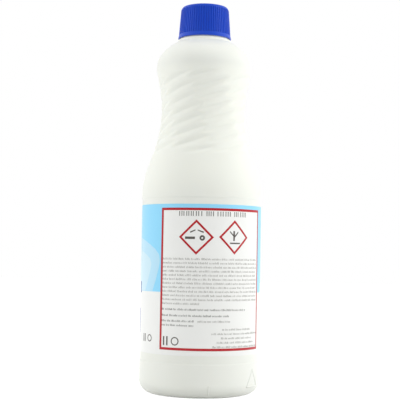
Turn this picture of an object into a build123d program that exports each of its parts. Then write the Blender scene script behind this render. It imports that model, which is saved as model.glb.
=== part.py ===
from build123d import *
from math import atan, cos, pi, radians, sin
import os

os.makedirs("parts", exist_ok=True)

# One-litre bleach bottle with a push-and-turn closure, in millimetres.
# The axis is Z and the bottle stands on z = 0. The label's panel of text faces -Y.
# An azimuth is counted in degrees from -Y towards +X.

# Bottle body
wall = 0.8                   # blown wall, even all over
body_radius = 41.55          # straight wall above and below the label panel
heel_radius = 9.2
foot_width = 2.4             # flat ring that the bottle stands on
push_up = 4.0                # height of the domed base inside that ring
push_up_share = 0.62         # where the dome bends most, as a share of its radius
push_up_bulge = 0.72         # and its height there, as a share of the full height
panel_depth = 0.35           # recess that keeps the label from scuffing
panel_bottom = 23.2
panel_top = 132.5
panel_slope = 0.6            # height of the sloped edge at each end of the panel

# Grip and shoulder, as radius and height
flank_stations = [
    (body_radius, 136.0),
    (40.4, 146.2),
    (37.15, 157.4),
    (33.25, 168.7),
    (30.55, 179.9),
    (29.15, 193.0),
    (29.95, 205.2),
    (31.5, 213.7),
    (33.1, 224.5),
]
collar_radius = 18.7
collar_bottom = 243.1
shoulder_stations = [
    flank_stations[-1],
    (31.9, 230.7),
    (28.1, 236.3),
    (24.0, 239.8),
    (collar_radius, collar_bottom),
]
shoulder_end_way = (-2.2, 1.25)
flank_steps = 12             # points that carry the flank's curve over to the inner wall
shoulder_steps = 6

# Slanted grooves that shape the grip's ribs
groove_columns = 8           # columns around the grip, each half a row off its neighbours
groove_steps = 15            # half rows from the highest groove to the lowest
groove_depth = 1.0
groove_half_width = 2.9      # at full depth
groove_sweep = 52.0          # degrees around the bottle that one groove covers
groove_rise = 9.0            # how far it climbs over them
groove_run_out = 0.15        # height above the surface at which its bottom line ends
groove_top = 214.8           # middle of the highest groove
groove_row_step = 7.36
groove_lean = 0.55           # degrees that a column drifts for each mm down
groove_azimuth = -39.0       # a column with one of the highest grooves
groove_reach = 1.12          # cutter's size over the groove's
groove_clear = 3.0           # room for the cutter outside the wall

# Collar and neck, a 28 mm finish
collar_corner = 0.9
collar_height = 1.6
spigot_gap = 0.45            # between the spigot and the outer shell's rim
spigot_height = 1.5          # step above the collar
neck_radius = 12.6
neck_blend = 2.0             # slope from the shoulder into the bore
neck_height = 15.3           # from the spigot up to the lip
bore_radius = 10.6
lip_chamfer = 0.5
thread_height = 1.1          # of the crest above the neck
thread_pitch = 25.4 / 6      # six turns to the inch
thread_turns = 1.5
thread_base = 2.0
thread_crest = 1.0
thread_drop = 9.9            # from the lip down to the thread's lower end
thread_root_bite = 0.25      # how deep a thread is rooted in its wall

# Closure: a wad, a threaded inner cap, and a ribbed shell that turns it when pushed down
running_gap = 0.35           # between a thread's crest and the wall that it faces
wad_thickness = 1.0
wad_gap = 0.55               # around the wad, inside the inner cap
plate_thickness = 1.3        # top plate of the inner cap
skirt_thickness = 1.25
plate_corner = 0.6
foot_gap = 3.1               # from the spigot up to the inner cap's foot
inner_thread_turns = 1.25
inner_thread_degrees = 120.0 # where it begins, clear of the skirt's foot
flange_reach = 1.1           # flange at the foot of the inner cap's skirt
flange_height = 1.1
press_travel = 0.7
press_gap = 0.1              # left between rim and collar when pressed
teeth = 12                   # on each of the two caps
tooth_height = 1.4
tooth_inner_radius = 9.5
tooth_outer_radius = 14.0
tooth_degrees = 12.0
tooth_gap = 0.25             # height between the two sets of teeth at rest
roof_thickness = 1.2
shell_wall = 0.9
shell_top_radius = 16.3      # between the ribs, below the rounded edge
shell_foot_radius = 17.65    # between the ribs, above the smooth band
shell_edge_radius = 1.7
rim_radius = 18.56
rim_wall = 1.1
rim_band = 2.7               # height of the smooth band under the ribs
rib_count = 66
rib_height = 0.42
rib_top_drop = 1.2           # from the top face down to the ribs' upper ends
rib_crest_share = 0.3        # of the spacing
rib_root_share = 0.75
rib_root_bite = 0.3          # how deep a rib is rooted in the shell
bead_hold = 0.4              # overlap of the shell's bead and the inner cap's flange
bead_gap = 0.1               # height between them at rest
bead_height = 0.7
bead_slope = 0.9             # height of the sloped lead-in below the bead
rim_edge = 0.3

# Label
label_thickness = 0.1
label_bottom_margin = 5.2    # left bare in the panel under the label
label_top_margin = 4.3
label_lap_degrees = 9.0      # where its two ends lie over each other
label_seam_azimuth = 196.0

# Marks raised on the heel: a triangle to be felt, and the mould's tick
mark_relief = 0.35
mark_root = 0.3
triangle_azimuth = 59.5
triangle_bottom = 6.5
triangle_side = 15.2
triangle_line = 1.2
tick_azimuth = 9.0
tick_width = 0.9
tick_bottom = 3.0
tick_top = 9.2

tool_margin = 2.0            # how far a cutting shape runs past what it cuts

collar_top = collar_bottom + collar_height
spigot_top = collar_top + spigot_height
rim_bottom = collar_top + press_travel + press_gap
rim_inner_radius = rim_radius - rim_wall
spigot_radius = rim_inner_radius - spigot_gap
lip_top = spigot_top + neck_height
thread_radius = neck_radius + thread_height
thread_start = lip_top - thread_drop
inner_bottom = spigot_top + foot_gap
inner_skirt_inside = thread_radius + running_gap
inner_skirt_outside = inner_skirt_inside + skirt_thickness
flange_radius = inner_skirt_outside + flange_reach
wad_radius = inner_skirt_inside - wad_gap
plate_bottom = lip_top + wad_thickness
plate_top = plate_bottom + plate_thickness
roof_bottom = plate_top + 2 * tooth_height + tooth_gap
cap_top = roof_bottom + roof_thickness
bead_top = inner_bottom - bead_gap
bead_bottom = bead_top - bead_height
bead_radius = flange_radius - bead_hold
rib_bottom = rim_bottom + rim_band
rib_top = cap_top - rib_top_drop
panel_radius = body_radius - panel_depth
label_bottom = panel_bottom + label_bottom_margin
label_top = panel_top - label_top_margin


def outward(azimuth, radius, z):
    angle = radians(azimuth)
    return Vector(radius * sin(angle), -radius * cos(angle), z)


def inset_stations(edge, inset, count):
    points = []
    for step in range(count + 1):
        place = edge @ (step / count)
        way = edge % (step / count)
        points.append((place.X - inset * way.Y, place.Y + inset * way.X))
    return points


flank = Spline(*flank_stations, tangents=[(0, 1), (0, 1)])
shoulder = Spline(*shoulder_stations, tangents=[(0, 1), shoulder_end_way])


def body_side(inset):
    # Line from the foot's outer edge up to the collar, moved inwards by the inset.
    foot = (body_radius - heel_radius, inset)
    side = body_radius - inset
    panel = side - panel_depth
    grip = inset_stations(flank, inset, flank_steps)
    dome = inset_stations(shoulder, inset, shoulder_steps)
    RadiusArc(foot, (side, heel_radius), -(heel_radius - inset))
    Polyline(
        (side, heel_radius),
        (side, panel_bottom - panel_slope),
        (panel, panel_bottom),
        (panel, panel_top),
        (side, panel_top + panel_slope),
        grip[0],
    )
    Spline(*grip, tangents=[(0, 1), (0, 1)])
    Spline(*dome, tangents=[(0, 1), shoulder_end_way])
    return foot, dome[-1]


def base_line(inset, start, top):
    # Domed base from the axis out to the standing ring, and up the axis to the top.
    inner_foot = body_radius - heel_radius - foot_width - inset
    Line((0, top), (0, push_up + inset))
    ThreePointArc(
        (0, push_up + inset),
        (inner_foot * push_up_share, push_up * push_up_bulge + inset),
        (inner_foot, inset),
    )
    Line((inner_foot, inset), start)


def grip_radius(z):
    # Radius of the grip's outer surface at a height, found by halving.
    low, high = 0.0, 1.0
    for _ in range(30):
        middle = (low + high) / 2
        if (flank @ middle).Y < z:
            low = middle
        else:
            high = middle
    return (flank @ low).X


def groove_cutter(z, azimuth, sink):
    # The groove's bottom is an arc that is deepest in its middle and comes out at both ends.
    points = []
    for side, depth in ((-1, -groove_run_out), (0, groove_depth), (1, -groove_run_out)):
        height = z + side * groove_rise / 2
        radius = grip_radius(height) - depth - sink
        points.append(outward(azimuth + side * groove_sweep / 2, radius, height))
    path = ThreePointArc(*points)
    along = path % 0
    plane = Plane(points[0], x_dir=along.cross(Vector(points[0].X, points[0].Y, 0)), z_dir=along)
    edge = groove_half_width * groove_reach
    climb = groove_depth * groove_reach
    with BuildSketch(plane) as section:
        with BuildLine():
            Polyline(
                (0, 0),
                (edge, -climb),
                (edge, -climb - sink - groove_clear),
                (-edge, -climb - sink - groove_clear),
                (-edge, -climb),
                close=True,
            )
        make_face()
    arm, last_arm = path @ 0 - path.arc_center, path @ 1 - path.arc_center
    turn_axis = Axis(path.arc_center, arm.cross(last_arm))
    return revolve(
        section.sketch, axis=turn_axis, revolution_arc=arm.get_angle(last_arm), mode=Mode.PRIVATE
    )


def grip_cutters(sink):
    cutters = []
    for step in range(groove_steps):
        z = groove_top - groove_row_step * step / 2
        column = step % 2 * 360 / groove_columns
        azimuth = groove_azimuth + column - groove_lean * (z - groove_top)
        cutter = groove_cutter(z, azimuth, sink)
        cutters += [cutter.moved(place) for place in PolarLocations(0, groove_columns // 2)]
    return cutters


def thread_ridge(wall_radius, crest_radius, start_z, turns, start_degrees=0):
    # One start; the root is buried in the wall and the crest stands off it.
    # The start height is that of the screw line at 0 degrees, wherever the ridge begins.
    way = 1 if crest_radius > wall_radius else -1
    root = wall_radius - way * thread_root_bite
    height = crest_radius - root
    helix = Helix(thread_pitch, thread_pitch * turns, root, center=(0, 0, start_z))
    start = helix @ 0
    with BuildSketch(Plane(start, x_dir=(way, 0, 0), z_dir=helix % 0)) as profile:
        with BuildLine():
            Polyline(
                (0, -thread_base / 2),
                (height, -thread_crest / 2),
                (height, thread_crest / 2),
                (0, thread_base / 2),
                close=True,
            )
        make_face()
    ridge = sweep(profile.sketch, path=helix, is_frenet=True, mode=Mode.PRIVATE)
    return Pos(0, 0, thread_pitch * start_degrees / 360) * Rot(0, 0, start_degrees) * ridge


flank_tilt = atan(groove_depth / groove_half_width)
outer_grooves = grip_cutters(0)
inner_grooves = grip_cutters(wall / cos(flank_tilt))
neck_thread = thread_ridge(neck_radius, thread_radius, thread_start, thread_turns)

with BuildPart() as cavity:
    with BuildSketch(Plane.XZ):
        with BuildLine():
            start, end = body_side(wall)
            Polyline(
                end,
                (bore_radius + neck_blend, spigot_top - neck_blend),
                (bore_radius, spigot_top),
                (bore_radius, lip_top + tool_margin),
                (0, lip_top + tool_margin),
            )
            base_line(wall, start, lip_top + tool_margin)
        make_face()
    revolve(axis=Axis.Z)
    add(inner_grooves, mode=Mode.SUBTRACT)

with BuildPart() as bottle_wall:
    with BuildSketch(Plane.XZ):
        with BuildLine():
            start, end = body_side(0)
            Line(end, (collar_radius, collar_top - collar_corner))
            RadiusArc(
                (collar_radius, collar_top - collar_corner),
                (collar_radius - collar_corner, collar_top),
                -collar_corner,
            )
            Polyline(
                (collar_radius - collar_corner, collar_top),
                (spigot_radius, collar_top),
                (spigot_radius, spigot_top),
                (neck_radius, spigot_top),
                (neck_radius, lip_top - lip_chamfer),
                (neck_radius - lip_chamfer, lip_top),
                (0, lip_top),
            )
            base_line(0, start, lip_top)
        make_face()
    revolve(axis=Axis.Z)
    add(outer_grooves, mode=Mode.SUBTRACT)
    add(cavity.part, mode=Mode.SUBTRACT)
    add(neck_thread)

with BuildPart() as mark_prisms:
    triangle_plane = Plane(
        outward(triangle_azimuth, 0, triangle_bottom),
        x_dir=outward(triangle_azimuth + 90, 1, 0),
        z_dir=outward(triangle_azimuth, 1, 0),
    )
    with BuildSketch(triangle_plane):
        with BuildLine():
            Polyline(
                (-triangle_side / 2, 0),
                (triangle_side / 2, 0),
                (0, triangle_side * sin(pi / 3)),
                close=True,
            )
        make_face()
        offset(amount=-triangle_line, kind=Kind.INTERSECTION, mode=Mode.SUBTRACT)
    extrude(amount=body_radius + tool_margin)
    tick_plane = Plane(
        outward(tick_azimuth, 0, tick_bottom),
        x_dir=outward(tick_azimuth + 90, 1, 0),
        z_dir=outward(tick_azimuth, 1, 0),
    )
    with BuildSketch(tick_plane):
        Rectangle(tick_width, tick_top - tick_bottom, align=(Align.CENTER, Align.MIN))
    extrude(amount=body_radius + tool_margin)

with BuildPart() as heel_marks:
    with BuildSketch(Plane.XZ):
        with BuildLine():
            foot_radius = body_radius - heel_radius
            band_top = panel_bottom - panel_slope
            outer, inner = body_radius + mark_relief, body_radius - mark_root
            RadiusArc((foot_radius, -mark_relief), (outer, heel_radius), -heel_radius - mark_relief)
            Polyline((outer, heel_radius), (outer, band_top), (inner, band_top), (inner, heel_radius))
            RadiusArc((inner, heel_radius), (foot_radius, mark_root), heel_radius - mark_root)
            Line((foot_radius, mark_root), (foot_radius, -mark_relief))
        make_face()
    revolve(axis=Axis.Z)
    add(mark_prisms.part, mode=Mode.INTERSECT)

with BuildPart() as bottle:
    add(bottle_wall.part)
    add(heel_marks.part)

with BuildPart() as label:
    with BuildSketch(Plane.XY.offset(label_bottom)):
        Circle(panel_radius + label_thickness)
        Circle(panel_radius, mode=Mode.SUBTRACT)
    extrude(amount=label_top - label_bottom)
    with BuildSketch(Plane.XZ):
        with Locations((panel_radius + label_thickness, label_bottom)):
            Rectangle(label_thickness, label_top - label_bottom, align=(Align.MIN, Align.MIN))
    lap = revolve(axis=Axis.Z, revolution_arc=label_lap_degrees, mode=Mode.PRIVATE)
    with Locations(Rotation(0, 0, label_seam_azimuth - 90)):
        add(lap)

with BuildPart() as wad:
    with BuildSketch(Plane.XY.offset(lip_top)):
        Circle(wad_radius)
    extrude(amount=wad_thickness)


def tooth_ring(bottom, turn):
    # Teeth whose sides lie along the radius.
    with BuildSketch(Plane.XZ) as section:
        with Locations((tooth_inner_radius, bottom)):
            Rectangle(
                tooth_outer_radius - tooth_inner_radius, tooth_height, align=(Align.MIN, Align.MIN)
            )
    tooth = revolve(
        section.sketch, axis=Axis.Z, revolution_arc=tooth_degrees, mode=Mode.PRIVATE
    )
    return [tooth.moved(place) for place in PolarLocations(0, teeth, start_angle=turn)]


def shell_radius(z):
    # Radius of the outer shell between its ribs.
    share = (z - rib_bottom) / (cap_top - shell_edge_radius - rib_bottom)
    return shell_foot_radius + share * (shell_top_radius - shell_foot_radius)


def rib_points(radius):
    points = []
    for rib in range(rib_count):
        for share, reach in (
            (-rib_root_share, -rib_root_bite),
            (-rib_crest_share, rib_height),
            (rib_crest_share, rib_height),
            (rib_root_share, -rib_root_bite),
        ):
            angle = (rib + share / 2) * 360 / rib_count
            points.append(tuple(outward(angle, radius + reach, 0))[:2])
    return points


inner_teeth = tooth_ring(plate_top, 0)
shell_teeth = tooth_ring(roof_bottom - tooth_height, 180 / teeth)
ridge_start = thread_start - thread_pitch / 2
inner_thread = thread_ridge(
    inner_skirt_inside,
    neck_radius + running_gap,
    ridge_start,
    inner_thread_turns,
    inner_thread_degrees,
)

with BuildPart() as inner_cap:
    with BuildSketch(Plane.XZ):
        with BuildLine():
            Polyline(
                (0, plate_top),
                (0, plate_bottom),
                (inner_skirt_inside, plate_bottom),
                (inner_skirt_inside, inner_bottom),
                (flange_radius, inner_bottom),
                (flange_radius, inner_bottom + flange_height / 2),
                (inner_skirt_outside, inner_bottom + flange_height),
                (inner_skirt_outside, plate_top),
                close=True,
            )
        make_face()
    revolve(axis=Axis.Z)
    fillet(edges().filter_by(GeomType.CIRCLE).group_by(Axis.Z)[-1], radius=plate_corner)
    add(inner_thread)
    add(inner_teeth)

with BuildPart() as ribs:
    for z in (rib_bottom, rib_top):
        with BuildSketch(Plane.XY.offset(z)):
            with BuildLine():
                Polyline(rib_points(shell_radius(z)), close=True)
            make_face()
    loft(ruled=True)
    with BuildSketch(Plane.XZ):
        with BuildLine():
            Polyline(
                (0, rib_bottom),
                (shell_foot_radius + 2 * rib_height, rib_bottom),
                (shell_radius(rib_top) + 2 * rib_height, rib_top - 3 * rib_height),
                (shell_radius(rib_top) - rib_height, rib_top),
                (0, rib_top),
                close=True,
            )
        make_face()
    revolve(axis=Axis.Z, mode=Mode.INTERSECT)

with BuildPart() as outer_cap:
    with BuildSketch(Plane.XZ):
        with BuildLine():
            Line((0, cap_top), (shell_top_radius - shell_edge_radius, cap_top))
            RadiusArc(
                (shell_top_radius - shell_edge_radius, cap_top),
                (shell_top_radius, cap_top - shell_edge_radius),
                shell_edge_radius,
            )
            Polyline(
                (shell_top_radius, cap_top - shell_edge_radius),
                (shell_foot_radius, rib_bottom),
                (shell_foot_radius + rib_height, rib_bottom),
                (rim_radius, rim_bottom + 2 * rim_edge),
                (rim_radius, rim_bottom + rim_edge),
                (rim_radius - rim_edge, rim_bottom),
                (0, rim_bottom),
                (0, cap_top),
            )
        make_face()
    revolve(axis=Axis.Z)
    add(ribs.part)
    with BuildSketch(Plane.XZ):
        with BuildLine():
            Polyline(
                (0, rim_bottom),
                (rim_inner_radius, rim_bottom),
                (rim_inner_radius, bead_bottom - bead_slope),
                (bead_radius, bead_bottom),
                (bead_radius, bead_top),
                (shell_foot_radius - shell_wall, bead_top),
                (shell_top_radius - shell_wall, roof_bottom),
                (0, roof_bottom),
                close=True,
            )
        make_face()
    revolve(axis=Axis.Z, mode=Mode.SUBTRACT)
    add(shell_teeth)

for part, name in (
    (bottle, "bottle"),
    (label, "label"),
    (wad, "wad"),
    (inner_cap, "inner_cap"),
    (outer_cap, "outer_cap"),
):
    part.part.label = name
    export_step(part.part, f"parts/{name}.step")
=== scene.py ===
import math
import random

import bpy
import numpy as np
from mathutils import Matrix, Vector


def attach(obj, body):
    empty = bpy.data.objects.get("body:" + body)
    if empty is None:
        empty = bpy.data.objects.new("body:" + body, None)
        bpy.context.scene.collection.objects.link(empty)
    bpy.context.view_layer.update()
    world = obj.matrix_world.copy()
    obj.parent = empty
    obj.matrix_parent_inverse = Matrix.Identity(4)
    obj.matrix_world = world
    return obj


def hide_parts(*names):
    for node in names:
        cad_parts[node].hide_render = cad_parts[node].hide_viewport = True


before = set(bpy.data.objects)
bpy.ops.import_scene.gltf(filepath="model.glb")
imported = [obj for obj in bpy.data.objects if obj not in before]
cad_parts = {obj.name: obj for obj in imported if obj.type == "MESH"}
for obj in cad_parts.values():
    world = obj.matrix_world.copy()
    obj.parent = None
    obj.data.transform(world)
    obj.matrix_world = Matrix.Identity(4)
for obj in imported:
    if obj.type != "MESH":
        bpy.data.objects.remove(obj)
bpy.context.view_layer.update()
print("stage: frame loaded")

mm = 0.001
random.seed(11)              # the rows of strokes fall the same way each run


def linear(hexColour):
    # sRGB hex to linear RGBA
    parts = [int(hexColour[i:i + 2], 16) / 255 for i in (0, 2, 4)]
    return [p / 12.92 if p <= 0.04045 else ((p + 0.055) / 1.055) ** 2.4 for p in parts] + [1.0]


def emptyTree(owner):
    owner.use_nodes = True
    owner.node_tree.nodes.clear()
    return owner.node_tree


def add(tree, kind, settings=None, links=None):
    # settings: attributes by name, socket values by name or number; links: socket to (node, output)
    node = tree.nodes.new(kind)
    for key, value in (settings or {}).items():
        if isinstance(key, str) and hasattr(node, key):
            setattr(node, key, value)
        else:
            node.inputs[key].default_value = value
    for key, (source, output) in (links or {}).items():
        tree.links.new(source.outputs[output], node.inputs[key])
    return node


def newMaterial(name, settings):
    made = bpy.data.materials.new(name)
    tree = emptyTree(made)
    shader = add(tree, "ShaderNodeBsdfPrincipled", settings)
    add(tree, "ShaderNodeOutputMaterial", {}, {"Surface": (shader, "BSDF")})
    return made, tree, shader


def noise(tree, place, size, detail):
    # size is that of one patch, in mm
    settings = {"Scale": 1 / (size * mm), "Detail": detail}
    return add(tree, "ShaderNodeTexNoise", settings, {"Vector": (place, "Object")})


def meshPiece(name, shapes, look, sharpFrom=40):
    # shapes is a list of (points, faces), joined into one mesh
    points, faces = [], []
    for somePoints, someFaces in shapes:
        start = len(points)
        points += [tuple(p) for p in somePoints]
        faces += [tuple(i + start for i in f) for f in someFaces]
    mesh = bpy.data.meshes.new(name)
    mesh.from_pydata(points, [], faces)
    mesh.polygons.foreach_set("use_smooth", [True] * len(mesh.polygons))
    mesh.set_sharp_from_angle(angle=math.radians(sharpFrom))
    mesh.materials.append(look)
    piece = bpy.data.objects.new(name, mesh)
    bpy.context.scene.collection.objects.link(piece)
    return piece


def outward(azimuth, radius, z):
    # azimuth in degrees from -Y towards +X; radius and z in mm
    angle, radius, z = np.broadcast_arrays(np.radians(azimuth), radius, z)
    return np.stack([radius * np.sin(angle), -radius * np.cos(angle), z], axis=-1) * mm


def slab(top, under):
    # closed thin solid between two grids of points, rows by columns
    rows, columns = top.shape[:2]
    n = rows * columns
    faces = []
    for r in range(rows - 1):
        for c in range(columns - 1):
            a = r * columns + c
            b, d, e = a + 1, a + columns + 1, a + columns
            faces += [(a, b, d, e), (n + e, n + d, n + b, n + a)]
    rim = list(range(columns)) + [r * columns + columns - 1 for r in range(1, rows)]
    rim += [n - columns + c for c in range(columns - 2, -1, -1)]
    rim += [r * columns for r in range(rows - 2, 0, -1)]
    faces += [(b, a, n + a, n + b) for a, b in zip(rim, rim[1:] + rim[:1])]
    return np.concatenate([top.reshape(-1, 3), under.reshape(-1, 3)]), faces


def turned(radii, heights, azimuths):
    # closed solid of revolution from rows by columns; its first and last rows lie on the axis
    rows, columns = radii.shape
    points = outward(azimuths[None, :], radii, heights).reshape(-1, 3)
    kept = np.concatenate([points[columns:-columns], points[:1], points[-1:]])
    last = (rows - 3) * columns
    faces = []
    for c in range(columns):
        beside = (c + 1) % columns
        faces += [(r * columns + c, r * columns + beside, (r + 1) * columns + beside, (r + 1) * columns + c)
                  for r in range(rows - 3)]
        faces += [(len(kept) - 2, beside, c), (last + c, last + beside, len(kept) - 1)]
    return kept, faces


def arcLine(centre, radius, startDegrees, endDegrees, count):
    angles = np.radians(np.linspace(startDegrees, endDegrees, count))
    return np.array(centre) + radius * np.stack([np.cos(angles), np.sin(angles)], axis=-1)


def smoothLine(stations, count, startWay, endWay):
    # cubic pieces through the stations, joined with even curvature
    knots = np.array(stations, float)
    chords = np.hypot(*np.diff(knots, axis=0).T)
    t = np.concatenate([[0], np.cumsum(chords)])
    n = len(t)
    system, right = np.eye(n), np.zeros((n, 2))
    right[0] = np.array(startWay) / np.hypot(*startWay)
    right[-1] = np.array(endWay) / np.hypot(*endWay)
    for i in range(1, n - 1):
        before, after = chords[i - 1], chords[i]
        system[i, i - 1:i + 2] = after, 2 * (before + after), before
        right[i] = 3 * (after * (knots[i] - knots[i - 1]) / before + before * (knots[i + 1] - knots[i]) / after)
    slopes = np.linalg.solve(system, right)
    line = []
    for s in np.linspace(0, t[-1], count):
        i = min(np.searchsorted(t, s, side="right") - 1, n - 2)
        h = chords[i]
        u = (s - t[i]) / h
        line.append(
            knots[i] * (2 * u ** 3 - 3 * u ** 2 + 1) + slopes[i] * h * (u ** 3 - 2 * u ** 2 + u)
            + knots[i + 1] * (3 * u ** 2 - 2 * u ** 3) + slopes[i + 1] * h * (u ** 3 - u ** 2)
        )
    return np.array(line)


# Bottle, in mm
bottle = {
    "radius": 41.55, "heel": 9.2, "foot": 2.4, "pushUp": 4.0, "wall": 0.8, "sideFrom": 14.0,
    "panelDepth": 0.35, "panelBottom": 23.2, "panelMiddle": 76.0, "panelTop": 132.5, "panelSlope": 0.6,
    "flank": [(41.55, 136.0), (40.4, 146.2), (37.15, 157.4), (33.25, 168.7), (30.55, 179.9),
              (29.15, 193.0), (29.95, 205.2), (31.5, 213.7), (33.1, 224.5)],
    "shoulder": [(33.1, 224.5), (31.9, 230.7), (28.1, 236.3), (24.0, 239.8), (18.7, 243.1)],
    "shoulderEndWay": (-2.2, 1.25),
    "collar": 18.7, "collarCorner": 0.9, "collarTop": 244.7, "spigot": 17.01, "spigotTop": 246.2,
    "neck": 12.6, "bore": 10.6, "lipTop": 261.5, "lipChamfer": 0.5, "funnel": 2.0,
    "crispEdge": 0.3,                        # a row this close to an edge keeps it crisp
    "columns": 360, "gripFrom": 154.0, "gripRows": 136, "partingAzimuth": -31.0,
    "grooves": {
        "columns": 8, "firstStep": -1, "lastStep": 15, "top": 214.8, "rowStep": 7.36, "lean": 0.55, "azimuth": -39.0,
        "depth": 1.4, "halfWidth": 3.8, "tipShare": 0.35, "sweep": 52.0, "rise": 9.0, "gripRadius": 31,
        "rounding": 0.1, "flare": 1.7, "runOut": 1.2, "fadeBelow": 164.0, "fadeAbove": 219.3, "fade": 4.0,
    },
    # the inside of the wall, which nothing shows, follows the outside loosely
    "inside": {"shoulderShift": (0.45, 0.75), "grooveClear": 0.3, "panel": (25, 130), "side": (21, 134),
               "domeShare": 0.97},
}


def grooveDepths(azimuth, z):
    # how far each point of the grip lies below its smooth surface, in mm
    g = bottle["grooves"]
    deepest = np.zeros(np.broadcast(azimuth, z).shape)
    climb = math.cos(math.atan(g["rise"] / (math.radians(g["sweep"]) * g["gripRadius"])))
    for step in range(g["firstStep"], g["lastStep"] + 1):
        middle = g["top"] - g["rowStep"] * step / 2
        first = g["azimuth"] + step % 2 * 360 / g["columns"] - g["lean"] * (middle - g["top"])
        for turn in range(g["columns"] // 2):
            away = (azimuth - first - turn * 720 / g["columns"] + 180) % 360 - 180
            along = np.clip(away / (g["sweep"] / 2), -1, 1)
            ending = (1 - along ** 2) ** g["runOut"]
            across = np.abs(z - middle - g["rise"] / 2 * along) * climb
            width = g["halfWidth"] * (g["tipShare"] + (1 - g["tipShare"]) * ending)
            t = np.hypot(across / width, g["rounding"])
            deepest = np.maximum(deepest, g["depth"] * ending * np.clip(1 - t, 0, 1) ** g["flare"])
    below = np.clip((z - g["fadeBelow"]) / g["fade"] + 0.5, 0, 1)
    above = np.clip((g["fadeAbove"] - z) / g["fade"] + 0.5, 0, 1)
    return deepest * below * above


def bottleOutline():
    # rows of radius and height from the middle of the base up the outside and down the inside
    b = bottle
    side, foot, wall = b["radius"], b["radius"] - b["heel"], b["wall"]
    panel, crisp = side - b["panelDepth"], b["crispEdge"]
    dome = np.linspace(0, 1, 9)
    base = np.stack([(foot - b["foot"]) * dome, b["pushUp"] * (1 - dome ** 2)], axis=-1)
    heel = arcLine((foot, b["heel"]), b["heel"], -90, 0, 14)
    body = [
        (side, b["sideFrom"]), (side, b["panelBottom"] - b["panelSlope"] - crisp),
        (side, b["panelBottom"] - b["panelSlope"]), (panel, b["panelBottom"]), (panel, b["panelBottom"] + crisp),
        (panel, b["panelMiddle"]), (panel, b["panelTop"] - crisp), (panel, b["panelTop"]),
        (side, b["panelTop"] + b["panelSlope"]), (side, b["panelTop"] + b["panelSlope"] + crisp),
    ]
    fine = smoothLine(b["flank"], 900, (0, 1), (0, 1))
    heights = np.concatenate([
        np.linspace(b["flank"][0][1], b["gripFrom"], 11)[:-1],
        np.linspace(b["gripFrom"], b["flank"][-1][1], b["gripRows"]),
    ])
    flank = np.stack([np.interp(heights, fine[:, 1], fine[:, 0]), heights], axis=-1)
    shoulder = smoothLine(b["shoulder"], 24, (0, 1), b["shoulderEndWay"])
    corner = b["collarCorner"]
    collar = arcLine((b["collar"] - corner, b["collarTop"] - corner), corner, 0, 90, 6)
    neck = [
        (b["spigot"], b["collarTop"]), (b["spigot"], b["spigotTop"]), (b["neck"], b["spigotTop"]),
        (b["neck"], b["lipTop"] - b["lipChamfer"]), (b["neck"] - b["lipChamfer"], b["lipTop"]),
        (b["bore"], b["lipTop"]), (b["bore"], b["spigotTop"]),
        (b["bore"] + b["funnel"], b["spigotTop"] - b["funnel"]),
    ]
    within = b["inside"]
    deep = wall + b["grooves"]["depth"] + within["grooveClear"]
    inside = [
        smoothLine(b["shoulder"], 8, (0, 1), b["shoulderEndWay"])[::-1] - np.array(within["shoulderShift"]),
        flank[::-10] - np.array([deep, 0]),
        [(side - wall, within["side"][1]), (panel - wall, within["panel"][1]),
         (panel - wall, within["panel"][0]), (side - wall, within["side"][0])],
        arcLine((foot, b["heel"]), b["heel"] - wall, 0, -90, 7),
        base[::-2] * np.array([within["domeShare"], 1]) + np.array([0, wall]),
    ]
    lines = [base, heel, body, flank, shoulder[1:], collar, neck] + inside
    firstFlank = len(base) + len(heel) + len(body)
    return np.concatenate([np.array(line, float) for line in lines]), slice(firstFlank, firstFlank + len(flank))


# HDPE blown in a blasted mould: a satin skin, slightly see-through, that softens every highlight
def makeHdpe():
    look, tree, shader = newMaterial("blowMouldedHdpe", {
        "Roughness": 0.38, "IOR": 1.54,
        "Subsurface Weight": 0.15, "Subsurface Scale": 0.003, "Subsurface Radius": (1.0, 0.9, 0.75),
    })
    place = add(tree, "ShaderNodeTexCoord")
    grain = noise(tree, place, 0.9, 3)       # the mould's grain, drawn coarser than life
    sag = noise(tree, place, 24, 1)          # slow waves of a blown wall
    tint = noise(tree, place, 45, 2)
    ramp = add(tree, "ShaderNodeValToRGB", {}, {"Fac": (tint, "Fac")})
    ramp.color_ramp.elements[0].color = linear("EAECE2")
    ramp.color_ramp.elements[1].color = linear("F0F2EA")
    tree.links.new(ramp.outputs["Color"], shader.inputs["Base Color"])
    gloss = add(tree, "ShaderNodeMapRange", {"To Min": 0.34, "To Max": 0.44}, {"Value": (grain, "Fac")})
    tree.links.new(gloss.outputs["Result"], shader.inputs["Roughness"])
    parting = math.radians(bottle["partingAzimuth"])
    acrossPlane = (math.cos(parting), math.sin(parting), 0)
    fromPlane = add(tree, "ShaderNodeVectorMath", {"operation": "DOT_PRODUCT", 1: acrossPlane},
                    {0: (place, "Object")})
    distance = add(tree, "ShaderNodeMath", {"operation": "ABSOLUTE"}, {0: (fromPlane, "Value")})
    flashShape = {"interpolation_type": "SMOOTHSTEP", "From Max": 0.45 * mm, "To Min": 1.0, "To Max": 0.0}
    flash = add(tree, "ShaderNodeMapRange", flashShape, {"Value": (distance, "Value")})   # the mould's halves meet
    waves = add(tree, "ShaderNodeBump", {"Strength": 0.3, "Distance": 0.6 * mm}, {"Height": (sag, "Fac")})
    line = add(tree, "ShaderNodeBump", {"Strength": 0.5, "Distance": 0.12 * mm},
               {"Height": (flash, "Result"), "Normal": (waves, "Normal")})
    fine = add(tree, "ShaderNodeBump", {"Strength": 0.12, "Distance": 0.05 * mm},
               {"Height": (grain, "Fac"), "Normal": (line, "Normal")})
    tree.links.new(fine.outputs["Normal"], shader.inputs["Normal"])
    return look


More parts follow.
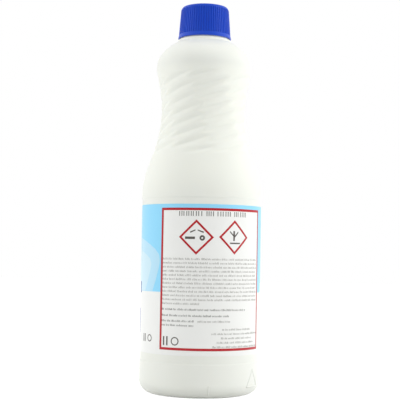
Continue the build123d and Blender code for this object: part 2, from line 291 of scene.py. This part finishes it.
hdpe = makeHdpe()
outline, flankRows = bottleOutline()
azimuths = np.arange(bottle["columns"]) * 360 / bottle["columns"]
radii = np.repeat(outline[:, :1], bottle["columns"], axis=1)
heights = np.repeat(outline[:, 1:], bottle["columns"], axis=1)
radii[flankRows] -= grooveDepths(azimuths[None, :], heights[flankRows])
bottleShell = meshPiece("bottle_shell", [turned(radii, heights, azimuths)], hdpe, 50)
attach(bottleShell, "bottle_body")
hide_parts("bottle")

# Marks raised on the heel, in mm
marks = {"side": 15.2, "bottom": 6.5, "line": 1.2, "azimuth": 59.5, "relief": 0.33, "root": 0.3,
         "tickAzimuth": 9.0, "tickBottom": 3.0, "tickTop": 9.2, "tickWidth": 0.9}


def heelPoint(azimuth, z, lift):
    # point on the straight wall or the rounded heel, lifted along the surface's normal
    b = bottle
    foot = b["radius"] - b["heel"]
    sink = np.clip((np.asarray(z) - b["heel"]) / b["heel"], -1, 0)
    out = np.sqrt(1 - sink ** 2)
    height = np.where(sink < 0, b["heel"] + (b["heel"] + lift) * sink, z)
    return outward(azimuth, foot + (b["heel"] + lift) * out, height)


def raisedBar(start, end, width):
    # bar with a rounded top between two (along, z) points in mm, as azimuths, heights and lifts
    start, end = np.array(start, float), np.array(end, float)
    way = (end - start) / np.hypot(*(end - start))
    side = np.array([-way[1], way[0]]) * width / 2
    u = np.linspace(0, 1, 17)[None, :, None]
    v = np.array([-1, -0.6, 0, 0.6, 1])[:, None]
    flat = start + (end - start) * u + side * v[:, :, None]
    azimuth = np.degrees(np.arcsin(flat[..., 0] / bottle["radius"]))
    lift = marks["relief"] * np.array([0.0, 0.8, 1.0, 0.8, 0.0])[:, None] + 0 * flat[..., 0]
    return azimuth, flat[..., 1], lift


def turnBy(bars, azimuth):
    # bars moved round to an azimuth and closed into solids
    return [slab(heelPoint(along + azimuth, z, lift), heelPoint(along + azimuth, z, 0 * lift - marks["root"]))
            for along, z, lift in bars]


halfSide, inset = marks["side"] / 2, marks["line"] / 2
low = marks["bottom"] + inset
peak = marks["bottom"] + marks["side"] * math.sqrt(3) / 2 - 2 * inset
corners = [(-halfSide + inset * math.sqrt(3), low), (halfSide - inset * math.sqrt(3), low), (0, peak)]
triangle = [raisedBar(corners[i], corners[(i + 1) % 3], marks["line"]) for i in range(3)]
tick = [raisedBar((0, marks["tickBottom"]), (0, marks["tickTop"]), marks["tickWidth"])]
heelMarks = meshPiece("heel_marks", turnBy(triangle, marks["azimuth"]) + turnBy(tick, marks["tickAzimuth"]), hdpe)

# Thread of the neck, in mm; a section's points are (height, share of the crest)
thread = {"root": bottle["neck"], "crest": 13.7, "pitch": 25.4 / 6, "turns": 1.5, "start": 251.6, "bite": 0.25,
          "stepsPerTurn": 48, "runOutDegrees": 18, "tip": 0.15,
          "section": [(-1.0, 0), (-0.5, 1), (0.5, 1), (1.0, 0)]}


def threadRidge():
    # the section swept up a helix, growing and fading at its ends
    t = thread
    angles = np.linspace(0, 360 * t["turns"], int(t["stepsPerTurn"] * t["turns"]) + 1)
    rise = t["start"] + t["pitch"] * angles / 360
    grown = np.clip(np.minimum(angles, 360 * t["turns"] - angles) / t["runOutDegrees"], t["tip"], 1)
    turn = 90 + angles                       # the CAD's helix starts on +X
    height = t["crest"] - t["root"]
    top = [outward(turn, t["root"] + height * out * grown, rise + up * grown) for up, out in t["section"]]
    under = [outward(turn, t["root"] - t["bite"] + 0 * angles, rise + up * grown) for up, out in t["section"]]
    return slab(np.stack(top), np.stack(under))


neckThread = meshPiece("neck_thread", [threadRidge()], hdpe)
for piece in (heelMarks, neckThread):
    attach(piece, "bottle_body")
print("stage: bottle", len(bottleShell.data.polygons))


# Printed PP film, glued on: smoother than the bottle, so its highlights are tighter
def makeFilm(name, colour):
    look, tree, shader = newMaterial(name, {"Base Color": linear(colour), "Roughness": 0.36, "IOR": 1.49})
    place = add(tree, "ShaderNodeTexCoord")
    ripple = noise(tree, place, 14, 2)       # the film follows the bottle's waves
    bump = add(tree, "ShaderNodeBump", {"Strength": 0.2, "Distance": 0.25 * mm}, {"Height": (ripple, "Fac")})
    tree.links.new(bump.outputs["Normal"], shader.inputs["Normal"])
    return look


# Label: heights and thicknesses in mm, azimuths and lap in degrees; the frame is left, right, low, high
label = {
    "panel": 41.2, "film": 0.1, "bottom": 28.4, "top": 128.2, "seam": 196.0, "lap": 9.0, "split": 69.7,
    "frame": (-39.8, 68.6, 31.8, 125.6), "line": 1.65, "inkRoot": 0.03,
    "white": "F0F1EE", "blue": "92DAFB", "pale": "B8E2F6", "paler": "CBE9F5", "red": "B40418", "grey": "77726B",
    "dark": "55514C", "navy": "1F3F93",
    "strokes": {"group": (3, 11), "heights": (1, 0.72, 0.72), "pitchShare": 0.5, "spread": (0.85, 1, 1.25),
                "gap": 0.9},
}
filmRadius = label["panel"] + label["film"]
perDegree = math.radians(1) * filmRadius     # mm along the film
firstInk, secondInk, thirdInk, lastInk = 0.03, 0.05, 0.07, 0.09     # each layer is clear of the one under it


def inked(azimuth, z, lift):
    # layer of ink over a grid of azimuths and heights, rooted in the film
    return slab(outward(azimuth, filmRadius + lift, z), outward(azimuth, filmRadius - label["inkRoot"], z))


def patch(corners, lift):
    # four-sided patch from (azimuth, z) corners in turn
    c = np.array(corners, float)
    across = int(np.ptp(c[:, 0])) + 2
    u, v = np.linspace(0, 1, across)[None, :, None], np.linspace(0, 1, 2)[:, None, None]
    flat = (c[0] * (1 - u) + c[1] * u) * (1 - v) + (c[3] * (1 - u) + c[2] * u) * v
    return inked(flat[..., 0], flat[..., 1], lift)


def block(left, right, low, high, lift=lastInk):
    return patch([(left, low), (right, low), (right, high), (left, high)], lift)


def ring(azimuth, z, inside, outside):
    turn = np.radians(np.linspace(0, 360, 33))[None, :]
    reach = np.array([outside, inside])[:, None]
    return inked(azimuth + reach * np.cos(turn) / perDegree, z + reach * np.sin(turn), lastInk)


def wave(leftEdge, rightEdge, lift):
    # field between two curved edges given as (azimuth, z) stations
    z = np.linspace(rightEdge[0][1], rightEdge[-1][1], 60)
    left, right = [np.interp(z, [s[1] for s in edge], [s[0] for s in edge]) for edge in (leftEdge, rightEdge)]
    u = np.linspace(0, 1, 121)[None, :]
    return inked(left[:, None] * (1 - u) + right[:, None] * u, z[:, None], lift)


def rhombus(azimuth, z, halfWidth, halfHeight, line):
    halfMm = halfWidth * perDegree
    within = 1 - line * math.hypot(halfMm, halfHeight) / (halfMm * halfHeight)
    tips = [(0, -1), (1, 0), (0, 1), (-1, 0)]
    rim = [(azimuth + a * halfWidth, z + b * halfHeight) for a, b in tips]
    hole = [(azimuth + a * halfWidth * within, z + b * halfHeight * within) for a, b in tips]
    return [patch([rim[i], rim[(i + 1) % 4], hole[(i + 1) % 4], hole[i]], lastInk) for i in range(4)]


def strokes(z, start, end, size, weight, heights=label["strokes"]["heights"]):
    # a row of plain upright strokes in uneven groups
    style = label["strokes"]
    made, at = [], start
    stroke, pitch = weight / perDegree, size * style["pitchShare"] / perDegree
    while at < end - pitch:
        for _ in range(random.randint(*style["group"])):
            if at > end - stroke:
                break
            made.append(block(at, at + stroke, z, z + size * random.choice(heights)))
            at += pitch * random.choice(style["spread"])
        at += pitch * style["gap"]
    return made


left, right, low, high = label["frame"]
line = label["line"]
lineDegrees = line / perDegree
seam, lapEnd = label["seam"], label["seam"] + label["lap"]
around = np.linspace(seam - 360, seam, 361)[None, :]
filmRows = np.array([label["bottom"], label["top"]])[:, None]
film = slab(outward(around, filmRadius, filmRows), outward(around, label["panel"], filmRows))

# two closed domes, one in the other, by their left and right edges
paleLeft = [(-139, 69.9), (-143, 77), (-147, 85), (-149, 90), (-148, 94.5), (-143, 98.2), (-136, 101.2),
            (-128, 103.8), (-118, 105.6), (-108, 107.0), (-96, 107.6)]
paleRight = [(-51, 69.9), (-46.6, 77), (-42.8, 85), (-41.2, 90), (-42.5, 94.5), (-48, 98.2), (-56, 101.2),
             (-66, 103.8), (-77, 105.6), (-88, 107.0), (-94, 107.6)]
palerLeft = [(-126, 69.95), (-130, 76), (-134, 83), (-136, 88), (-133.5, 91.5), (-127, 94.2), (-119, 96),
             (-107, 97.8), (-96, 98.5)]
palerRight = [(-64.2, 69.95), (-59.5, 76), (-55.2, 83), (-53.2, 88), (-55.5, 91.5), (-62, 94.2), (-70.5, 96),
              (-83, 97.8), (-94, 98.5)]
pictures = {
    "white": [block(left, right, low, high, secondInk),
              block(seam, lapEnd, label["bottom"], label["split"], label["film"])],
    "blue": [block(seam - 360, seam, label["split"], label["top"], firstInk),
             block(seam, lapEnd, label["split"], label["top"], label["film"])],
    "pale": [wave(paleLeft, paleRight, secondInk)],
    "paler": [wave(palerLeft, palerRight, thirdInk)],
    "red": [
        block(left, right, high - line, high), block(left, right, low, low + line),
        block(left, left + lineDegrees, low + line, high - line),
        block(right - lineDegrees, right, low + line, high - line),
    ] + rhombus(-4.6, 106.3, 16.2, 11.6, 1.35) + rhombus(32.35, 106.6, 15.9, 11.4, 1.35),
    "navy": [block(-126, -76.5, 68.4, 76.0), block(-121.7, -80.8, 41.0, 58.0)],
    # plain ornaments inside the rhombi
    "dark": [
        block(-15.0, -5.8, 105.0, 106.6), ring(0.9, 105.8, 0.6, 1.8),
        patch([(-10.2, 109.0), (-5.4, 110.6), (-5.4, 111.3), (-10.2, 110.0)], lastInk),
        patch([(-3.4, 110.6), (2.2, 109.0), (2.2, 110.0), (-3.4, 111.3)], lastInk),
        block(27.4, 38.6, 102.2, 103.1), block(30.9, 32.6, 104.2, 110.8),
        patch([(32.6, 106.4), (36.4, 109.6), (36.4, 110.6), (32.6, 107.8)], lastInk),
        patch([(27.4, 109.8), (30.9, 107.2), (30.9, 108.4), (27.4, 110.8)], lastInk),
    ],
}
pictures["dark"] += strokes(120.2, -20.9, 48, 3.2, 0.5, (1,))
for z, end in ((58.0, 46.5), (54.0, 28.9), (50.4, -5), (47.6, -5.8)):
    pictures["dark"] += strokes(z, -37.3, end, 1.3, 0.28)
# two bars and a ring on the panel, and again beside it
pictures["dark"] += [
    block(-35.7, -34.2, 34.8, 40.7), block(-32.1, -30.6, 34.8, 40.7), ring(-23.3, 37.7, 2.1, 2.8),
    block(-66, -64.8, 36.0, 41.2), block(-62.8, -61.6, 36.0, 41.2), ring(-54.2, 38.6, 1.8, 2.4),
]
pictures["grey"] = strokes(50.4, -2, 29.0, 1.3, 0.22)
for row in range(12):
    pictures["grey"] += strokes(91.2 - 2.67 * row, -37.3, 64.4 if row < 11 else -1, 1.35, 0.22)
for row, (start, end) in enumerate(((21, 55), (11, 66), (20, 57), (16, 61), (12, 65))):
    pictures["grey"] += strokes(45.2 - 2.85 * row, start, end, 1.3, 0.22)

filmPiece = meshPiece("label_film", [film], makeFilm("printedFilmWhite", label["white"]))
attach(filmPiece, "bottle_body")
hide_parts("label")
for colour, shapes in pictures.items():
    piece = meshPiece("label_print_" + colour, shapes, makeFilm("filmInk" + colour.capitalize(), label[colour]))
    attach(piece, "bottle_body")
print("stage: label", sum(len(s[1]) for shapes in pictures.values() for s in shapes))


# Injection-moulded PP, pigmented right through: a clean gloss from a polished mould
def makePp(name, colour, roughness):
    look, tree, shader = newMaterial(name, {
        "Base Color": linear(colour), "IOR": 1.49, "Subsurface Weight": 0.03, "Subsurface Scale": 0.001,
    })
    place = add(tree, "ShaderNodeTexCoord")
    wear = noise(tree, place, 3, 3)          # faint handling marks
    gloss = add(tree, "ShaderNodeMapRange", {"To Min": roughness - 0.05, "To Max": roughness + 0.07},
                {"Value": (wear, "Fac")})
    tree.links.new(gloss.outputs["Result"], shader.inputs["Roughness"])
    return look


# Outer shell of the closure, in mm
cap = {
    "top": 268.05, "edge": 1.7, "topRadius": 16.3, "footRadius": 17.65, "wall": 0.9, "roof": 266.85,
    "crownRows": (6, 11), "roofRow": 9,      # radii
    "ribs": 66, "ribHeight": 0.42, "ribBottom": 248.2, "ribRows": (262.0, 258.0, 252.0),
    "ribTop": [(0.12, 0.5), (0.28, 0.9), (0.5, 1)],      # way below the rounded edge, share of a rib's height
    "crest": 0.15, "root": 0.29, "section": (0.14, 0.19, 0.24, 0.29, 0.36),      # shares of the ribs' spacing
    "band": [(0.06, 0.04), (0, -0.1)],       # way inwards and upwards from its upper edge
    "rim": [(0.03, 0.75), (0, 0.5), (0, 0.3), (0.1, 0.09), (0.3, 0)],      # and from the rim's foot
    "rimBottom": 245.5, "rimRadius": 18.56, "rimInside": 17.46,
    "bead": 16.0, "beadTop": 249.2, "beadBottom": 248.5, "beadFoot": 247.6,
    "teeth": 12, "toothDegrees": 12.0, "toothInner": 9.5, "toothOuter": 14.0, "toothHeight": 1.4, "toothRoot": 0.3,
}
bluePp = makePp("mouldedBluePp", "0444C3", 0.38)
whitePp = makePp("mouldedWhitePp", "EDEEEC", 0.4)


def capShell():
    # rows are (radius, height, share of a rib's height)
    c = cap
    side = c["top"] - c["edge"]
    edge = arcLine((c["topRadius"] - c["edge"], side), c["edge"], 90, 0, 8)
    slope = (c["footRadius"] - c["topRadius"]) / (side - c["ribBottom"])
    ribs = [(side - drop, share) for drop, share in c["ribTop"]] + [(z, 1) for z in c["ribRows"]]
    ribs.append((c["ribBottom"] + 0.1, 1))
    band = c["footRadius"] + c["ribHeight"]
    rows = [(radius, c["top"], 0) for radius in (0, *c["crownRows"])] + [(r, z, 0) for r, z in edge]
    rows += [(c["topRadius"] + slope * (side - z), z, share) for z, share in ribs]
    rows += [(band - inwards, c["ribBottom"] + up, 0) for inwards, up in c["band"]]
    rows += [(c["rimRadius"] - inwards, c["rimBottom"] + up, 0) for inwards, up in c["rim"]]
    rows += [
        (c["rimInside"], c["rimBottom"], 0), (c["rimInside"], c["beadFoot"], 0),
        (c["bead"], c["beadBottom"], 0), (c["bead"], c["beadTop"], 0),
        (c["footRadius"] - c["wall"], c["beadTop"], 0), (c["topRadius"] - c["wall"], c["roof"], 0),
        (c["roofRow"], c["roof"], 0), (0, c["roof"], 0),
    ]
    rows = np.array(rows, float)[::-1]
    section = np.array(c["section"])
    steps = np.concatenate([[-0.5], -section[::-1], [0.0], section])
    azimuths = np.concatenate([(n + steps) * 360 / c["ribs"] for n in range(c["ribs"])])
    t = np.clip((c["root"] - np.abs(steps)) / (c["root"] - c["crest"]), 0, 1)
    bump = np.tile(t * t * (3 - 2 * t), c["ribs"])
    radii = rows[:, :1] + c["ribHeight"] * rows[:, 2:] * bump[None, :]
    return turned(radii, rows[:, 1:2] + 0 * radii, azimuths)


def roofTeeth():
    c, made = cap, []
    for n in range(c["teeth"]):
        # the CAD counts its teeth from +X; azimuths here count from -Y
        start = 90 + (n + 0.5) * 360 / c["teeth"]
        turn = np.linspace(start, start + c["toothDegrees"], 5)[None, :]
        rows = np.array([c["toothOuter"], c["toothInner"]])[:, None]
        made.append(slab(outward(turn, rows, c["roof"] - c["toothHeight"]),
                         outward(turn, rows, c["roof"] + c["toothRoot"])))
    return made


capPiece = meshPiece("cap_shell", [capShell()] + roofTeeth(), bluePp, 35)
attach(capPiece, "outer_shell")
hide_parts("outer_cap")

# Closed-cell PE foam, sliced: dull and fine-pored
foam, foamTree, foamShader = newMaterial("slicedPeFoam", {"Base Color": linear("EFEFEB"), "Roughness": 0.85})
foamPlace = add(foamTree, "ShaderNodeTexCoord")
cells = add(foamTree, "ShaderNodeTexVoronoi", {"Scale": 1 / (0.35 * mm)}, {"Vector": (foamPlace, "Object")})
pores = add(foamTree, "ShaderNodeBump", {"Strength": 0.4, "Distance": 0.05 * mm}, {"Height": (cells, "Distance")})
foamTree.links.new(pores.outputs["Normal"], foamShader.inputs["Normal"])
for node, look in (("wad", foam), ("inner_cap", whitePp)):
    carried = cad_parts[node]
    carried.data.materials.clear()
    carried.data.materials.append(look)
print("stage: closure", len(capPiece.data.polygons))

# Camera, in mm and degrees
view = {"distance": 737.4, "height": 94.6, "sideways": -1.27, "lookUp": 2.97, "roll": 1.0, "focalPixels": 1059.0,
        "picturePixels": 400, "sensor": 36.0, "clip": (0.01, 50)}
camera = bpy.data.objects.new("camera", bpy.data.cameras.new("camera"))
bpy.context.scene.collection.objects.link(camera)
camera.data.sensor_width = view["sensor"]
camera.data.lens = view["sensor"] * view["focalPixels"] / view["picturePixels"]
stand = Matrix.Translation((view["sideways"] * mm, -view["distance"] * mm, view["height"] * mm))
tilt = Matrix.Rotation(math.radians(90 + view["lookUp"]), 4, "X")
camera.matrix_world = stand @ tilt @ Matrix.Rotation(math.radians(view["roll"]), 4, "Z")
camera.data.clip_start, camera.data.clip_end = view["clip"]
bpy.context.scene.camera = camera
bpy.context.scene.view_settings.view_transform = "Standard"

# Studio, in metres: a white backdrop that dims towards the room behind the camera, and a soft box at each side
studio = {
    "fill": 0.955, "roomSide": 0.66, "roomMirrored": 0.12, "roomFrom": -0.95, "sideTo": 0.1, "mirroredTo": 0.3,
    "left": 2.0, "right": 3.0, "boxSize": (0.35, 0.6), "boxSpread": 0.7, "boxNear": 0.22, "boxHeight": 0.44,
    "boxAim": 0.14,
}
white = (1, 1, 1, 1)


def straightRays(tree):
    # 1 for what the camera sees directly, in a reflection or through glass
    rays = add(tree, "ShaderNodeLightPath")
    seen = add(tree, "ShaderNodeMath", {"operation": "MAXIMUM"},
               {0: (rays, "Is Camera Ray"), 1: (rays, "Is Glossy Ray")})
    return add(tree, "ShaderNodeMath", {"operation": "MAXIMUM"}, {0: (seen, 0), 1: (rays, "Is Transmission Ray")})


world = bpy.data.worlds.new("studio")
bpy.context.scene.world = world
worldTree = emptyTree(world)
clear = straightRays(worldTree)
worldPlace = add(worldTree, "ShaderNodeTexCoord")
worldWay = add(worldTree, "ShaderNodeSeparateXYZ", {}, {"Vector": (worldPlace, "Generated")})
roomShades = {"From Min": studio["roomFrom"], "From Max": studio["sideTo"],
              "To Min": studio["roomSide"], "To Max": 1.0}
room = add(worldTree, "ShaderNodeMapRange", roomShades, {"Value": (worldWay, "Y")})
fillLevel = add(worldTree, "ShaderNodeMath", {"operation": "MULTIPLY", 1: studio["fill"]}, {0: (room, "Result")})
fill = add(worldTree, "ShaderNodeBackground", {"Color": white}, {"Strength": (fillLevel, 0)})
mirrorShades = {"From Min": studio["roomFrom"], "From Max": studio["mirroredTo"],
                "To Min": studio["roomMirrored"], "To Max": 1.0}
mirrored = add(worldTree, "ShaderNodeMapRange", mirrorShades, {"Value": (worldWay, "Y")})
worldRays = add(worldTree, "ShaderNodeLightPath")
seenLevel = add(worldTree, "ShaderNodeMath", {"operation": "MAXIMUM"},
                {0: (mirrored, "Result"), 1: (worldRays, "Is Camera Ray")})     # the camera sees plain white
backdrop = add(worldTree, "ShaderNodeBackground", {"Color": white}, {"Strength": (seenLevel, 0)})
either = add(worldTree, "ShaderNodeMixShader", {}, {0: (clear, 0), 1: (fill, 0), 2: (backdrop, 0)})
add(worldTree, "ShaderNodeOutputWorld", {}, {"Surface": (either, 0)})

for side, power in ((-1, studio["left"]), (1, studio["right"])):
    light = bpy.data.lights.new("softBox", "AREA")
    light.shape, light.energy = "RECTANGLE", power
    light.size, light.size_y = studio["boxSize"]
    lamp = bpy.data.objects.new("softBoxLeft" if side < 0 else "softBoxRight", light)
    bpy.context.scene.collection.objects.link(lamp)
    lamp.visible_glossy = False              # the backdrop is what the plastics mirror
    lamp.location = (side * studio["boxSpread"], -studio["boxNear"], studio["boxHeight"])
    lamp.rotation_euler = (Vector((0, 0, studio["boxAim"])) - lamp.location).to_track_quat("-Z", "Y").to_euler()

# Painted board: matt, so that it only holds a soft shadow; it glows white for the camera away from the bottle
board = {"halfSize": 3.0, "near": 0.05, "far": 0.3, "nearGlow": 0.85, "paint": "CECECE"}
boardLook = bpy.data.materials.new("paintedBoard")
boardTree = emptyTree(boardLook)
paint = add(boardTree, "ShaderNodeBsdfDiffuse", {"Color": linear(board["paint"])})
boardPlace = add(boardTree, "ShaderNodeTexCoord")
away = add(boardTree, "ShaderNodeVectorMath", {"operation": "LENGTH"}, {0: (boardPlace, "Object")})
glowShades = {"From Min": board["near"], "From Max": board["far"], "To Min": board["nearGlow"], "To Max": 1.0}
strength = add(boardTree, "ShaderNodeMapRange", glowShades, {"Value": (away, "Value")})
seenGlow = add(boardTree, "ShaderNodeMath", {"operation": "MULTIPLY"},
               {0: (straightRays(boardTree), 0), 1: (strength, "Result")})
glow = add(boardTree, "ShaderNodeEmission", {"Color": white}, {"Strength": (seenGlow, 0)})
both = add(boardTree, "ShaderNodeAddShader", {}, {0: (paint, 0), 1: (glow, 0)})
add(boardTree, "ShaderNodeOutputMaterial", {}, {"Surface": (both, 0)})
half = board["halfSize"]
boardCorners = [(-half, -half, 0), (half, -half, 0), (half, half, 0), (-half, half, 0)]
floor = meshPiece("floor", [(boardCorners, [(0, 1, 2, 3)])], boardLook)
print("stage: studio")
